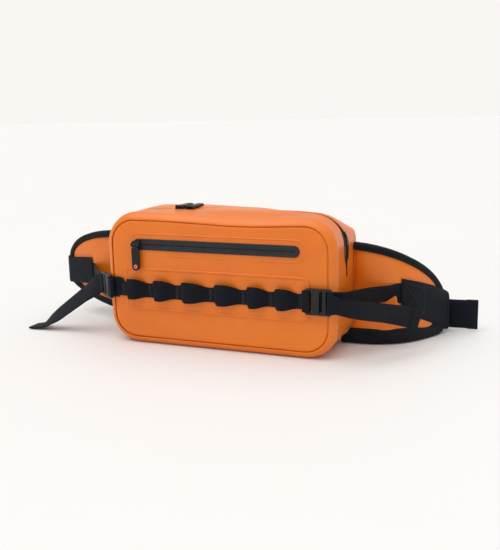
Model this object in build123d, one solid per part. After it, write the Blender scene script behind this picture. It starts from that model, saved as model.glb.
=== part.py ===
from build123d import *
from math import cos, hypot, radians, sin
import os

# Welded waterproof hip bag for camera gear, in millimetres.
# Origin: middle of the bag's underside. +X is the bag's right as seen from
# the front, +Y points back towards the wearer and +Z points up.

# ---- bag body ----
BAG_WIDTH = 300
BAG_HEIGHT = 166
BAG_DEPTH = 112
OUTLINE_RADIUS = 38
RIM_RADIUS = 12
SKIN = 2.0
SEAM_INSET = 8
FRONT_Y = -BAG_DEPTH / 2
BACK_Y = BAG_DEPTH / 2
SIDE_X = BAG_WIDTH / 2

# ---- mouth: the upper front tilts forward when the main zip is open ----
ZIP_Y = -8
SLIT = 3.4
ZIP_END_Z = 94
FOLD_Z = 100
FOLD_GAP = 0.6
TAPE = 1.0
TAPE_WIDTH = 8
TAPE_GAP = 0.4

# ---- front pocket zip ----
POCKET_X = -1
POCKET_Z = 128
POCKET_LENGTH = 218
POCKET_TAPE_HEIGHT = 14
POCKET_TAPE = 1.2
POCKET_MOUTH = 3

# ---- zip slider and pull, shared by all three sliders ----
SLIDER_LENGTH = 12
SLIDER_WIDTH = 9
SLIDER_PLATE = 1.6
PIN_HEIGHT = 3.8
PIN_RADIUS = 0.9
KNUCKLE_RADIUS = 2.0
PIN_CLEARANCE = 0.08
PULL_LENGTH = 31
PULL_WIDTH = 10
PULL_THICKNESS = 2.4
EYELET_RADIUS = 2.6
POCKET_SLIDER_X = -105
MAIN_SLIDERS = {"left": -68, "right": -53}

# ---- reinforcement patch and daisy chain ----
WEBBING = 25
WEBBING_THICKNESS = 1.5
CHAIN_Z = 72
PATCH = 1.4
PATCH_LEFT = -124
PATCH_RIGHT = 120
PATCH_BOTTOM = 45
PATCH_TOP = 99
STITCHES = (-126, -88, -50, -5, 38, 73, 109)
STITCH_HALF = 3
LOOP_RISE = 9
LOOP_DEPTH = 8.5
CHAIN_LEFT_END = -136

# ---- ladder locks ----
LOCK_LENGTH = 32
LOCK_HEIGHT = 31
LOCK_THICKNESS = 3.6
LOCK_SLOT_HEIGHT = 26
ANCHOR_BAR_X = -13.5
ANCHOR_BAR_RADIUS = 1.8
STRAP = 1.2
LEFT_LOCK_TURN = 38
RIGHT_LOCK_PLACE = (132, FRONT_Y - 4.3)
LEFT_LOCK_PLACE = (-154.1, FRONT_Y + 6.6)

# ---- padded wings: plan curves run from the bag to the tip ----
RIGHT_PLAN = ((155, 30), (215, 32), (232, 78), (256, 135))
LEFT_PLAN = ((-155, 30), (-200, 36), (-245, 50), (-288, 66))
RIGHT_TIP = 0.88
LEFT_TIP = 1.0
RIGHT_TOP = ((153, 128), (205, 120), (240, 88), (251, 42))
RIGHT_BOTTOM = ((153, 0.4), (190, 0.4), (225, 0.4), (251, 0.4))
LEFT_TOP = ((-153, 127), (-205, 128), (-268, 118), (-290, 83))
LEFT_BOTTOM = ((-153, 8), (-205, 12), (-255, 22), (-290, 46))
WING_LAYERS = {"face": (-5.0, -3.8), "foam": (-3.6, 3.2), "mesh": (3.4, 4.6)}
BINDING_REACH = (-5.4, 5.0)
BINDING = 9
RIGHT_LOWER_BAND = 20

# ---- hip belt ----
BELT = 38
BELT_THICKNESS = 1.6
BELT_FLOOR = 1.0
RIGHT_BELT_TOP = ((200, 82), (222, 74), (240, 64), (256, 39))
RIGHT_BELT_BOTTOM = ((200, 44), (222, 34), (240, 18), (256, 1))
LEFT_BELT_Z = 64

# ---- side-release buckle ----
BUCKLE_HEIGHT = 46
BUCKLE_THICKNESS = 13
SOCKET_LENGTH = 36
PLUG_BASE = 16
ARM_LENGTH = 28
ARM_THICKNESS = 6.4
MALE_PLACE = (166, 154, BUCKLE_HEIGHT / 2 + 0.5)
FEMALE_PLACE = (-176, 154, BUCKLE_HEIGHT / 2 + 0.5)

# ---- padded inside ----
BASE_PAD_TOP = 9
DIVIDER_X = 48
DIVIDER_THICKNESS = 8
DIVIDER_TOP = 96
BACK_PAD_WIDTH = 252
BACK_PAD_HEIGHT = 132
BACK_PAD = 9


# ---------------------------------------------------------------- helpers

def save(name, *shapes):
    """Write the solids of one sub-part to its own file."""
    solids = [solid for shape in shapes for solid in shape.solids()]
    whole = solids[0] if len(solids) == 1 else Compound(children=solids)
    export_step(whole, f"parts/{name}.step")


def box(x_range, y_range, z_range):
    """Box between two corners given as a range on each axis."""
    sizes = [high - low for low, high in (x_range, y_range, z_range)]
    middle = [(high + low) / 2 for low, high in (x_range, y_range, z_range)]
    return Pos(*middle) * Box(*sizes)


def plate(profile, y_front, y_back):
    """Extrude an X-Z profile from y_front to y_back."""
    return extrude(Plane.XZ.offset(-y_back) * profile, y_back - y_front)


def bezier(control, t):
    """Point at t on the cubic curve of four control points."""
    s = 1 - t
    weights = (s**3, 3 * s * s * t, 3 * s * t * t, t**3)
    return tuple(sum(w * p[i] for w, p in zip(weights, control)) for i in (0, 1))


def shifted(control, t, distance):
    """Point beside the curve at t; a positive distance is towards +Y."""
    before = bezier(control, t - 0.01)
    after = bezier(control, t + 0.01)
    dx = after[0] - before[0]
    dy = after[1] - before[1]
    length = hypot(dx, dy)
    side = distance if control[0][0] < control[3][0] else -distance
    x, y = bezier(control, t)
    return (x - dy / length * side, y + dx / length * side)


def band(control, near, far, start=0.0, end=1.0, count=7):
    """Plan face between two offsets of a curve."""
    steps = [start + (end - start) * i / (count - 1) for i in range(count)]
    front = [shifted(control, t, near) for t in steps]
    back = [shifted(control, t, far) for t in steps]
    edges = [Spline(*front), Line(front[-1], back[-1])]
    edges += [Spline(*back[::-1]), Line(back[0], front[0])]
    return make_face(edges)


def curve_outline(top, bottom, top_inset=0, bottom_inset=0, tip_inset=0, root_inset=0):
    """X-Z face between a top curve and a bottom curve."""
    steps = [i / 6 for i in range(7)]
    upper = [bezier(top, t) for t in steps]
    lower = [bezier(bottom, t) for t in steps]
    toward_tip = 1 if upper[-1][0] > upper[0][0] else -1
    lowered = [(x, z - top_inset) for x, z in upper]
    raised = [(x, z + bottom_inset) for x, z in lower]
    edges = [Spline(*lowered), Line(lowered[-1], raised[-1])]
    edges += [Spline(*raised[::-1]), Line(raised[0], lowered[0])]
    face = make_face(edges)
    root_x = upper[0][0] + toward_tip * root_inset
    tip_x = upper[-1][0] - toward_tip * tip_inset
    window = Pos((root_x + tip_x) / 2, 60) * Rectangle(abs(tip_x - root_x), 400)
    return face & window


def standing(control, near, far, outline, start=0.0, end=1.0):
    """Curved upright panel: a plan band cut to an X-Z outline."""
    wall = extrude(band(control, near, far, start, end), 200)
    return wall & plate(outline, -200, 300)


def upright(control, near, far, z_range, start=0.0, end=1.0):
    """Curved upright strip of one height."""
    low, high = z_range
    return extrude(Pos(0, 0, low) * band(control, near, far, start, end), high - low)


def sloped(x_range, z_start, z_end, width):
    """X-Z outline of a strap whose middle line slopes from z_start to z_end."""
    x_start, x_end = x_range
    half = width / 2
    corners = [(x_start, z_start - half), (x_end, z_end - half)]
    corners += [(x_end, z_end + half), (x_start, z_start + half)]
    return make_face(Polyline(*corners, close=True))


# ---------------------------------------------------------------- bag shell

def bag_outline(inset):
    """Rounded front outline of the bag, moved in by an inset."""
    size = (BAG_WIDTH - 2 * inset, BAG_HEIGHT - 2 * inset)
    return Pos(0, BAG_HEIGHT / 2) * RectangleRounded(*size, OUTLINE_RADIUS - inset)


def bag_block(inset):
    """Solid form of the bag, moved in by an inset on every side."""
    block = plate(bag_outline(inset), FRONT_Y + inset, BACK_Y - inset)
    rims = block.faces().filter_by(Axis.Y).edges()
    return fillet(rims, RIM_RADIUS - inset)


def make_shell():
    """Bag fabric: panels and gussets, split at the welds, the zip and the fold."""
    shell = bag_block(0) - bag_block(SKIN)
    reach = (-SIDE_X - 1, SIDE_X + 1)
    full = (-1, BAG_HEIGHT + 1)
    front_weld = plate(bag_outline(SEAM_INSET), FRONT_Y - 1, FRONT_Y + RIM_RADIUS)
    back_weld = plate(bag_outline(SEAM_INSET), BACK_Y - RIM_RADIUS, BACK_Y + 1)
    slit = box(reach, (ZIP_Y, ZIP_Y + SLIT / 2), (ZIP_END_Z, full[1]))
    rear = (shell & box(reach, (ZIP_Y, BACK_Y + 1), full)) - slit
    lower = shell & box(reach, (FRONT_Y - 1, ZIP_Y), (full[0], FOLD_Z - FOLD_GAP / 2))
    upper_range = (FOLD_Z + FOLD_GAP / 2, full[1])
    upper = shell & box(reach, (FRONT_Y - 1, ZIP_Y - SLIT / 2), upper_range)
    mouth = SlotOverall(POCKET_LENGTH - 18, POCKET_MOUTH)
    mouth_cut = plate(Pos(POCKET_X, POCKET_Z) * mouth, FRONT_Y - 1, FRONT_Y + SKIN + 1)
    save("back_panel", rear & back_weld)
    save("rear_gusset", rear - back_weld)
    save("front_panel_lower", lower & front_weld)
    save("front_gusset_lower", lower - front_weld)
    save("front_panel_upper", (upper & front_weld) - mouth_cut)
    save("front_gusset_upper", upper - front_weld)


def make_main_zip():
    """Two zip tapes under the slit and a garage at each end."""
    ring = bag_outline(SKIN + 0.1) - bag_outline(SKIN + 0.1 + TAPE)
    half_gap = TAPE_GAP / 2
    front = plate(ring, ZIP_Y - half_gap - TAPE_WIDTH, ZIP_Y - half_gap)
    rear = plate(ring, ZIP_Y + half_gap, ZIP_Y + half_gap + TAPE_WIDTH)
    whole = (-SIDE_X, SIDE_X)
    depth = (FRONT_Y, BACK_Y)
    save("main_zip_tape_front", front & box(whole, depth, (FOLD_Z + 0.3, BAG_HEIGHT)))
    save("main_zip_tape_rear", rear & box(whole, depth, (ZIP_END_Z, BAG_HEIGHT)))
    for side, sign in (("left", -1), ("right", 1)):
        face = Plane(origin=(sign * (SIDE_X + 0.1), ZIP_Y, FOLD_Z - 3), x_dir=(0, 1, 0),
                     z_dir=(sign, 0, 0))
        save(f"zip_garage_{side}", extrude(face * Ellipse(2.6, 8), 0.9))


def make_pocket_zip():
    """Front pocket zip: two tape halves in a round-ended strip, and the pouch."""
    strip = SlotOverall(POCKET_LENGTH, POCKET_TAPE_HEIGHT)
    half = POCKET_TAPE_HEIGHT / 2
    for name, sign in (("upper", 1), ("lower", -1)):
        middle = sign * (half / 2 + TAPE_GAP / 4)
        window = Pos(0, middle) * Rectangle(POCKET_LENGTH + 2, half - TAPE_GAP / 2)
        profile = Pos(POCKET_X, POCKET_Z) * (strip & window)
        save(f"pocket_zip_tape_{name}", plate(profile, FRONT_Y - POCKET_TAPE, FRONT_Y))
    pouch_x = (-112, 110)
    pouch = box(pouch_x, (FRONT_Y + 2.5, FRONT_Y + 9.1), (30, 122))
    hollow = box((pouch_x[0] + 1, pouch_x[1] - 1), (FRONT_Y + 3.5, FRONT_Y + 8.1), (31, 123))
    save("pocket_liner", pouch - hollow)


# ---------------------------------------------------------------- zip sliders

def zip_slider(keel):
    """Slider on a zip: x along the zip, y across it, z away from the bag."""
    outline = RectangleRounded(SLIDER_LENGTH, SLIDER_WIDTH, 2.4)
    slider = extrude(outline, SLIDER_PLATE)
    ear_shape = RectangleRounded(5, PIN_HEIGHT + KNUCKLE_RADIUS, 1.2)
    ear_middle = (PIN_HEIGHT + KNUCKLE_RADIUS) / 2
    for side in (-1, 1):
        plane = Plane(origin=(side * 4.6 - 0.8, 0, ear_middle), x_dir=(0, 1, 0), z_dir=(1, 0, 0))
        slider += extrude(plane * ear_shape, 1.6)
    pin_plane = Plane(origin=(-4.6, 0, PIN_HEIGHT), x_dir=(0, 1, 0), z_dir=(1, 0, 0))
    slider += extrude(pin_plane * Circle(PIN_RADIUS), 9.2)
    if keel:
        slider += box((-4, 4), (-0.1, 0.1), (-SKIN - 0.5, 0.5))
    return slider


def zip_pull():
    """Moulded pull on the slider's pin, hanging towards -y."""
    knuckle_plane = Plane(origin=(-3.5, 0, PIN_HEIGHT), x_dir=(0, 1, 0), z_dir=(1, 0, 0))
    knuckle = extrude(knuckle_plane * Circle(KNUCKLE_RADIUS), 7)
    tab = Pos(0, -PULL_LENGTH / 2 - 1.5) * RectangleRounded(PULL_WIDTH, PULL_LENGTH, 4.6)
    low = PIN_HEIGHT - PULL_THICKNESS / 2
    blade = extrude(Pos(0, 0, low) * tab, PULL_THICKNESS)
    blade -= box((-6, 6), (-3.6, 6), (0, 9))
    neck = box((-3.2, 3.2), (-6, 0), (low, low + PULL_THICKNESS))
    bore = extrude(knuckle_plane * Circle(PIN_RADIUS + PIN_CLEARANCE), 7)
    eyelet = Pos(0, 5 - PULL_LENGTH - 1.5, 0) * Cylinder(EYELET_RADIUS + 0.05, 20)
    return knuckle + blade + neck - bore - eyelet


def pull_eyelet():
    """Metal ring set in the pull's free end."""
    ring = Circle(EYELET_RADIUS) - Circle(1.3)
    low = PIN_HEIGHT - PULL_THICKNESS / 2 - 0.2
    return extrude(Pos(0, 5 - PULL_LENGTH - 1.5, low) * ring, PULL_THICKNESS + 0.4)


def make_sliders():
    """Slider, pull and eyelet on the pocket zip and twice on the main zip."""
    face = Plane(origin=(POCKET_SLIDER_X, FRONT_Y - POCKET_TAPE - 0.3, POCKET_Z),
                 x_dir=(1, 0, 0), z_dir=(0, -1, 0)).location
    save("pocket_zip_slider", face * zip_slider(keel=False))
    save("pocket_zip_pull", face * zip_pull())
    save("pocket_pull_eyelet", face * pull_eyelet())
    for side, x in MAIN_SLIDERS.items():
        top = Plane(origin=(x, ZIP_Y, BAG_HEIGHT + 0.4), x_dir=(-1, 0, 0),
                    z_dir=(0, 0, 1)).location
        save(f"main_zip_slider_{side}", top * zip_slider(keel=True))
        save(f"main_zip_pull_{side}", top * zip_pull())


# ---------------------------------------------------------------- front webbing

def make_patch():
    """Raised patch welded on the front under the daisy chain."""
    size = (PATCH_RIGHT - PATCH_LEFT, PATCH_TOP - PATCH_BOTTOM)
    middle = ((PATCH_RIGHT + PATCH_LEFT) / 2, (PATCH_TOP + PATCH_BOTTOM) / 2)
    profile = Pos(*middle) * RectangleRounded(*size, 9)
    save("reinforcement_patch", plate(profile, FRONT_Y - PATCH, FRONT_Y))


def make_daisy_chain():
    """One webbing stitched down at intervals, with an open loop between stitches."""
    route = [(CHAIN_LEFT_END, 0)]
    for start, end in zip(STITCHES, STITCHES[1:]):
        foot = STITCH_HALF
        route += [(start + foot, 0), (start + foot + LOOP_RISE, LOOP_DEPTH)]
        route += [(end - foot - LOOP_RISE, LOOP_DEPTH), (end - foot, 0)]
    route.append((STITCHES[-1] + 2, 0))
    base = FRONT_Y - PATCH
    inner = [(x, base - depth) for x, depth in route]
    outer = [(x, base - depth - WEBBING_THICKNESS) for x, depth in route]
    strip = make_face(Polyline(*inner, *outer[::-1], close=True))
    low = CHAIN_Z - WEBBING / 2
    save("daisy_chain", extrude(Pos(0, 0, low) * strip, WEBBING))


def lock_frame(side):
    """Where a ladder lock sits: x along its strap, z away from the bag."""
    if side == "right":
        place = (*RIGHT_LOCK_PLACE, CHAIN_Z)
        return Plane(origin=place, x_dir=(1, 0, 0), z_dir=(0, -1, 0)).location
    turn = radians(LEFT_LOCK_TURN)
    along = (-cos(turn), sin(turn), 0)
    outward = (-sin(turn), -cos(turn), 0)
    return Plane(origin=(*LEFT_LOCK_PLACE, CHAIN_Z), x_dir=along, z_dir=outward).location


def ladder_lock():
    """Ladder lock: round anchor bar, wide middle bar and ribbed grip bar."""
    outline = RectangleRounded(LOCK_LENGTH, LOCK_HEIGHT, 3)
    anchor_bay = Pos(-12.5, 0) * Rectangle(10, LOCK_SLOT_HEIGHT)
    strap_slot = Pos(2.8, 0) * Rectangle(3.6, LOCK_SLOT_HEIGHT)
    grip_slot = Pos(10.4, 0) * Rectangle(2.4, LOCK_SLOT_HEIGHT)
    body = extrude(outline - anchor_bay - strap_slot - grip_slot, LOCK_THICKNESS)
    bar_plane = Plane(origin=(ANCHOR_BAR_X, -LOCK_HEIGHT / 2 + 1, ANCHOR_BAR_RADIUS),
                      x_dir=(1, 0, 0), z_dir=(0, 1, 0))
    return body + extrude(bar_plane * Circle(ANCHOR_BAR_RADIUS), LOCK_HEIGHT - 2)


def anchor_loop():
    """Webbing loop that holds the lock by its anchor bar."""
    half = WEBBING / 2
    outer = box((-20, -9.8), (-half, half), (-1.5, 5.1))
    return outer - box((-18.8, -11.0), (-half - 1, half + 1), (-0.3, 3.9))


def tail_turn():
    """Part of the strap tail that comes up through the lock's strap slot."""
    half = WEBBING / 2 - 0.3
    return box((1.5, 2.7), (-half, half), (-1.5, 5.0))


def make_locks():
    """Both ladder locks and the webbing loops that hold them."""
    for side in ("left", "right"):
        frame = lock_frame(side)
        save(f"ladder_lock_{side}", frame * ladder_lock())
        save(f"anchor_loop_{side}", frame * anchor_loop())


def make_compression_straps():
    """Straps from the wings to the locks, and their free tails."""
    right_plan = ((135.5, -59.2), (160, -58), (166, 5), (202, 37))
    right_slope = sloped((130, 206), CHAIN_Z, 62, WEBBING)
    save("compression_strap_right", standing(right_plan, -0.6, 0.6, right_slope))
    left_plan = ((-158.5, -44.6), (-186, -24), (-212, 14), (-232.5, 39))
    left_slope = sloped((-154, -236), CHAIN_Z, 66, WEBBING)
    save("compression_strap_left", standing(left_plan, -0.6, 0.6, left_slope))

    tail_plan = ((133.4, -64.8), (180, -74), (190, -20), (231, 29))
    tail_slope = sloped((130, 234), CHAIN_Z, 35, WEBBING - 0.6)
    tail = standing(tail_plan, -0.6, 0.6, tail_slope)
    save("strap_tail_right", tail + lock_frame("right") * tail_turn())
    save("strap_tail_left", left_tail() + lock_frame("left") * tail_turn())


def left_tail():
    """Left strap tail: leaves the lock upright and twists down flat to the floor."""
    turn = radians(LEFT_LOCK_TURN)
    lock_x, lock_y = LEFT_LOCK_PLACE
    leave = [(lock_x - along * cos(turn) - 4.4 * sin(turn),
              lock_y + along * sin(turn) - 4.4 * cos(turn), CHAIN_Z) for along in (1.6, 18)]
    stations = [
        (leave[0], (-cos(turn), sin(turn), 0), (0, 0, 1)),
        (leave[1], (-cos(turn), sin(turn), 0), (0, 0, 1)),
        ((-202, -35, 52), (-0.85, 0.05, -0.5), (-0.2, -0.45, 0.85)),
        ((-245, -33, 24), (-0.85, 0.05, -0.52), (0.2, -0.8, 0.35)),
        ((-276, -31, 4), (-0.9, 0.05, -0.4), (0.4, -0.9, 0.05)),
        ((-288, -30, 0.8), (-1, 0, 0), (0.0, -1, 0)),
    ]
    sections = []
    for place, along, across in stations:
        plane = Plane(origin=place, x_dir=across, z_dir=along)
        sections.append(plane * Rectangle(WEBBING - 0.6, STRAP))
    return loft(sections, ruled=True)


# ---------------------------------------------------------------- wings and belt

def make_wing(side):
    """One padded wing: outer face, foam, inner mesh and the bound edge."""
    right = side == "right"
    plan = RIGHT_PLAN if right else LEFT_PLAN
    top = RIGHT_TOP if right else LEFT_TOP
    bottom = RIGHT_BOTTOM if right else LEFT_BOTTOM
    tip = RIGHT_TIP if right else LEFT_TIP
    lower_band = RIGHT_LOWER_BAND if right else BINDING
    inside = curve_outline(top, bottom, BINDING, lower_band, BINDING, 2)
    ring = curve_outline(top, bottom, tip_inset=0.5) - inside
    for layer, (near, far) in WING_LAYERS.items():
        save(f"wing_{layer}_{side}", standing(plan, near, far, inside, 0, tip))
    save(f"wing_binding_{side}", standing(plan, *BINDING_REACH, ring, 0, tip))


def make_wing_anchors():
    """Sewn strips on the bag's sides that the wings fold from."""
    for side, sign in (("left", -1), ("right", 1)):
        x_range = sorted((sign * (SIDE_X + 0.1), sign * (SIDE_X + 1.6)))
        save(f"wing_anchor_{side}", box(x_range, (27, 39), (OUTLINE_RADIUS, 124)))


def make_right_belt():
    """Right belt webbing: sewn on the wing, round its tip and on to the buckle."""
    sewn_outline = curve_outline(RIGHT_BELT_TOP, RIGHT_BELT_BOTTOM)
    near = BINDING_REACH[0] - 0.2 - BELT_THICKNESS
    sewn = standing(RIGHT_PLAN, near, near + BELT_THICKNESS, sewn_outline, 0.3, RIGHT_TIP + 0.02)
    floor = (BELT_FLOOR, BELT_FLOOR + BELT)
    turn_plan = ((255.6, 110.5), (259.5, 122), (250, 125), (236, 125.5))
    run_plan = ((235.4, 125.5), (222, 126), (206, 150), (183, 150.6))
    save("belt_patch_right", sewn)
    save("belt_turn_right", upright(turn_plan, -0.8, 0.8, floor))
    save("belt_webbing_right", upright(run_plan, -0.8, 0.8, floor))
    tail_plan = ((183, 157.4), (214, 157), (232, 129), (293, 121))
    save("belt_tail_right", upright(tail_plan, -0.8, 0.8, floor))
    save("belt_hem_right", upright(tail_plan, -2.6, -1.0, (0.6, floor[1] + 0.6), 0.9))


def make_left_belt():
    """Left belt webbing: sewn on the wing, round its tip and down to the buckle."""
    near = BINDING_REACH[0] - 0.2 - BELT_THICKNESS
    level = sloped((-230, -300), LEFT_BELT_Z, LEFT_BELT_Z, BELT)
    sewn = standing(LEFT_PLAN, near, near + BELT_THICKNESS, level, 0.6, LEFT_TIP - 0.02)
    save("belt_patch_left", sewn)
    turn_plan = ((-291.6, 60.5), (-297.5, 69), (-296, 80), (-285, 86))
    high = (LEFT_BELT_Z - BELT / 2, LEFT_BELT_Z + BELT / 2)
    save("belt_turn_left", upright(turn_plan, -0.8, 0.8, high))
    run_plan = ((-284.4, 86.4), (-262, 104), (-235, 154), (-194, 154))
    fall_top = ((-286, high[1]), (-250, high[1]), (-235, BELT + 5), (-190, BELT + 5))
    fall_bottom = ((-286, high[0]), (-250, high[0]), (-235, 5), (-190, 5))
    falling = curve_outline(fall_top, fall_bottom)
    save("belt_webbing_left", standing(run_plan, -0.8, 0.8, falling))


def buckle_socket():
    """Female buckle: x towards its mouth, y its height, z its thickness."""
    body = Pos(SOCKET_LENGTH / 2, 0) * RectangleRounded(SOCKET_LENGTH, BUCKLE_HEIGHT, 6)
    shell = extrude(Pos(0, 0, -BUCKLE_THICKNESS / 2) * body, BUCKLE_THICKNESS)
    shell = fillet(shell.faces().filter_by(Axis.Z).edges(), 2)
    shell -= box((9, SOCKET_LENGTH + 1), (-19, 19), (-4, 4))
    for side in (-1, 1):
        window = sorted((side * 15, side * 30))
        shell -= box((16, 28), window, (-4, 4))
    web_slot = box((3, 6.6), (-20, 20), (-10, 10))
    return shell - web_slot


def plug_base():
    """Male buckle body: webbing bars, crosspiece and the middle tongue."""
    outline = Pos(-PLUG_BASE / 2, 0) * RectangleRounded(PLUG_BASE, BUCKLE_HEIGHT, 4)
    body = extrude(Pos(0, 0, -5) * outline, 10)
    for x in (-12.6, -7.4):
        body -= box((x - 1.5, x + 1.5), (-20, 20), (-10, 10))
    return body + box((-1, 20), (-5, 5), (-3, 3))


def plug_arm(side):
    """Springy arm with the release button at its end."""
    half = ARM_THICKNESS / 2
    points = [(0.5, 11), (0.5, 15), (16, 17), (18, 22.4), (26, 22.4)]
    points += [(ARM_LENGTH, 18), (ARM_LENGTH, 14), (16, 13)]
    profile = make_face(Polyline(*[(x, side * y) for x, y in points], close=True))
    return extrude(Pos(0, 0, -half) * profile, ARM_THICKNESS)


def make_buckle():
    """Side-release buckle, unfastened: one half on each belt webbing."""
    female = Plane(origin=FEMALE_PLACE, x_dir=(1, 0, 0), z_dir=(0, -1, 0))
    socket = Pos(-SOCKET_LENGTH / 2, 0, 0) * buckle_socket()
    save("buckle_socket", female.location * socket)
    male = Plane(origin=MALE_PLACE, x_dir=(-1, 0, 0), z_dir=(0, -1, 0)).location
    save("buckle_plug", male * plug_base())
    save("buckle_arm_upper", male * plug_arm(-1))
    save("buckle_arm_lower", male * plug_arm(1))


# ---------------------------------------------------------------- padding

def make_padding():
    """Base pad, two movable dividers, and the back pad under its mesh."""
    inner = bag_block(SKIN + 0.5)
    wide = (-SIDE_X, SIDE_X)
    deep = (FRONT_Y, BACK_Y)
    save("base_pad", inner & box(wide, deep, (0, BASE_PAD_TOP)))
    half = DIVIDER_THICKNESS / 2
    for side, sign in (("left", -1), ("right", 1)):
        middle = sign * DIVIDER_X
        divider = box((middle - half, middle + half), (FRONT_Y + 9.6, BACK_Y - 6),
                      (BASE_PAD_TOP + 0.5, DIVIDER_TOP))
        save(f"divider_{side}", fillet(divider.edges().filter_by(Axis.X), 4))
    outline = Pos(0, BAG_HEIGHT / 2) * RectangleRounded(BACK_PAD_WIDTH, BACK_PAD_HEIGHT, 24)
    core = Pos(0, BAG_HEIGHT / 2) * RectangleRounded(BACK_PAD_WIDTH - 3, BACK_PAD_HEIGHT - 3, 22.5)
    cover = plate(outline, BACK_Y + 0.2, BACK_Y + 0.2 + BACK_PAD)
    cover -= plate(core, BACK_Y - 1, BACK_Y - 1 + BACK_PAD)
    save("back_pad_mesh", cover)
    inner_core = Pos(0, BAG_HEIGHT / 2) * RectangleRounded(BACK_PAD_WIDTH - 4, BACK_PAD_HEIGHT - 4, 22)
    save("back_pad_foam", plate(inner_core, BACK_Y + 0.3, BACK_Y - 1.3 + BACK_PAD))


def main():
    os.makedirs("parts", exist_ok=True)
    make_shell()
    make_main_zip()
    make_pocket_zip()
    make_sliders()
    make_patch()
    make_daisy_chain()
    make_locks()
    make_compression_straps()
    for side in ("left", "right"):
        make_wing(side)
    make_wing_anchors()
    make_right_belt()
    make_left_belt()
    make_buckle()
    make_padding()


main()
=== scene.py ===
from math import cos, pi, radians, sin, tau

import bpy
import numpy as np
from mathutils import Matrix, Vector


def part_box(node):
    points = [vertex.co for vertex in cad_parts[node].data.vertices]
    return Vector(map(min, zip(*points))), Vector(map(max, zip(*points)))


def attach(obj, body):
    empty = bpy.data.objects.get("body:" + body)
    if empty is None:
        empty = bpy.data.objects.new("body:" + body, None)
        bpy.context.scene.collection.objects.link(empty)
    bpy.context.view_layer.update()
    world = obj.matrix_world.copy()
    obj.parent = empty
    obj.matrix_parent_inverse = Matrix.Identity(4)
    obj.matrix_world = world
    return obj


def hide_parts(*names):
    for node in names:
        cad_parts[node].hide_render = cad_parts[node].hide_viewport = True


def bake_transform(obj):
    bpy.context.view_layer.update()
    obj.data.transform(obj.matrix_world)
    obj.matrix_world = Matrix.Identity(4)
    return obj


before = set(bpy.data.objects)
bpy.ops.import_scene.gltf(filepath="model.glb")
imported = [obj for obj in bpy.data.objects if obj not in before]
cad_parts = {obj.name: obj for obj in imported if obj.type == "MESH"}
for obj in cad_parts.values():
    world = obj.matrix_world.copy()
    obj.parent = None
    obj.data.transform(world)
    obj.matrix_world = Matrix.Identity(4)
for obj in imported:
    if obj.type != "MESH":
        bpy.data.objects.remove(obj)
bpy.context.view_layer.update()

# Looks of a welded waterproof hip bag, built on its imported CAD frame.
# Lengths below are millimetres; build() turns them into metres.
# Origin: middle of the bag's underside. +X is right seen from the front,
# +Y points back towards the wearer and +Z points up.
MM = 0.001


def node_box(node):
    """Lowest and highest corner of a CAD node, in millimetres."""
    return tuple(np.array(corner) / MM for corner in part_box(node))


# ---- sizes taken from the frame
SIDE_X, _, BAG_HEIGHT = node_box("rear_gusset")[1]
FRONT_Y = node_box("front_panel_lower")[0][1]
BACK_Y = node_box("back_panel")[1][1]
HALF_HEIGHT = BAG_HEIGHT / 2

# ---- bag skins
OUTLINE_RADIUS = 38
RIM_RADIUS = 12
REAR_RIM_RADIUS = 20
SEAM_INSET = 8
BAND_RISE = 0.7
BAND_EDGE_Y = -39
SKIN = 1.6
ZIP_Y = -8
ZIP_END_Z = 94
# The slit's lip, as (depth under the skin, distance from the slit).
LIP_DEPTH = 1.8
LIP_PROFILE = ((LIP_DEPTH, 0.0), (0.5, 0.1), (0.12, 0.35), (0.0, 0.9))
# Half of the main zip, as (distance from its middle, depth under the skin).
ZIP_PROFILE = ((0.05, 2.6), (0.1, 1.15), (0.5, 0.75), (1.0, 1.0), (1.6, 1.35), (3.6, 1.75),
               (7.0, 2.0), (9.5, 2.1), (11.5, 2.3))
# The fold of the flap, between these two places, in metres; build() bakes pieces given it in
# place and joins them to no body.
FLAP_BLEND = ("bag", "flap", (0, 0, 0.094), (0, 0, 0.118))

# ---- webbing
WEBBING = 25
STRAP = 1.2
BELT = 38
BELT_THICKNESS = 1.6

# ---- plan curves of the wings, straps and belt
RIGHT_PLAN = ((155, 30), (215, 32), (232, 78), (256, 135))
LEFT_PLAN = ((-155, 30), (-200, 36), (-245, 50), (-288, 66))
RIGHT_TIP = 0.855
RIGHT_TOP = ((153, 128), (210, 124), (244, 98), (252, 44))
RIGHT_BOTTOM = ((153, 0.4), (190, 0.4), (225, 0.4), (251, 0.4))
LEFT_TOP = ((-153, 129), (-215, 132), (-283, 122), (-291, 84))
LEFT_BOTTOM = ((-153, 13), (-205, 17), (-255, 25), (-290, 46))
BINDING = 9
RIGHT_LOWER_BAND = 20
FACE_H = -5.0
PATCH_H = FACE_H - 1.7
PAD_INSET = 5
# Section of the edge tape, as (share of the tape's width, h, inset).
EDGE_SECTION = ((1.0, -4.9, 0.0), (1.0, -5.6, -0.5), (0.5, -6.3, 0.0), (0.0, -6.0, 1.8),
                (0.0, -4.2, 0.3), (0.0, 0.0, -0.2), (0.0, 4.0, 0.3), (0.0, 5.3, 1.8))
WING_ROOT_S = -4.6
WING_ROOT_LOW_S = -20
RIGHT_STRAP_PLAN = ((135.5, -59.2), (160, -58), (166, 5), (202, 37))
LEFT_STRAP_PLAN = ((-158.5, -44.6), (-186, -24), (-212, 14), (-232.5, 39))
RIGHT_TAIL_PLAN = ((133.4, -64.8), (180, -74), (190, -20), (231, 29))
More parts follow.
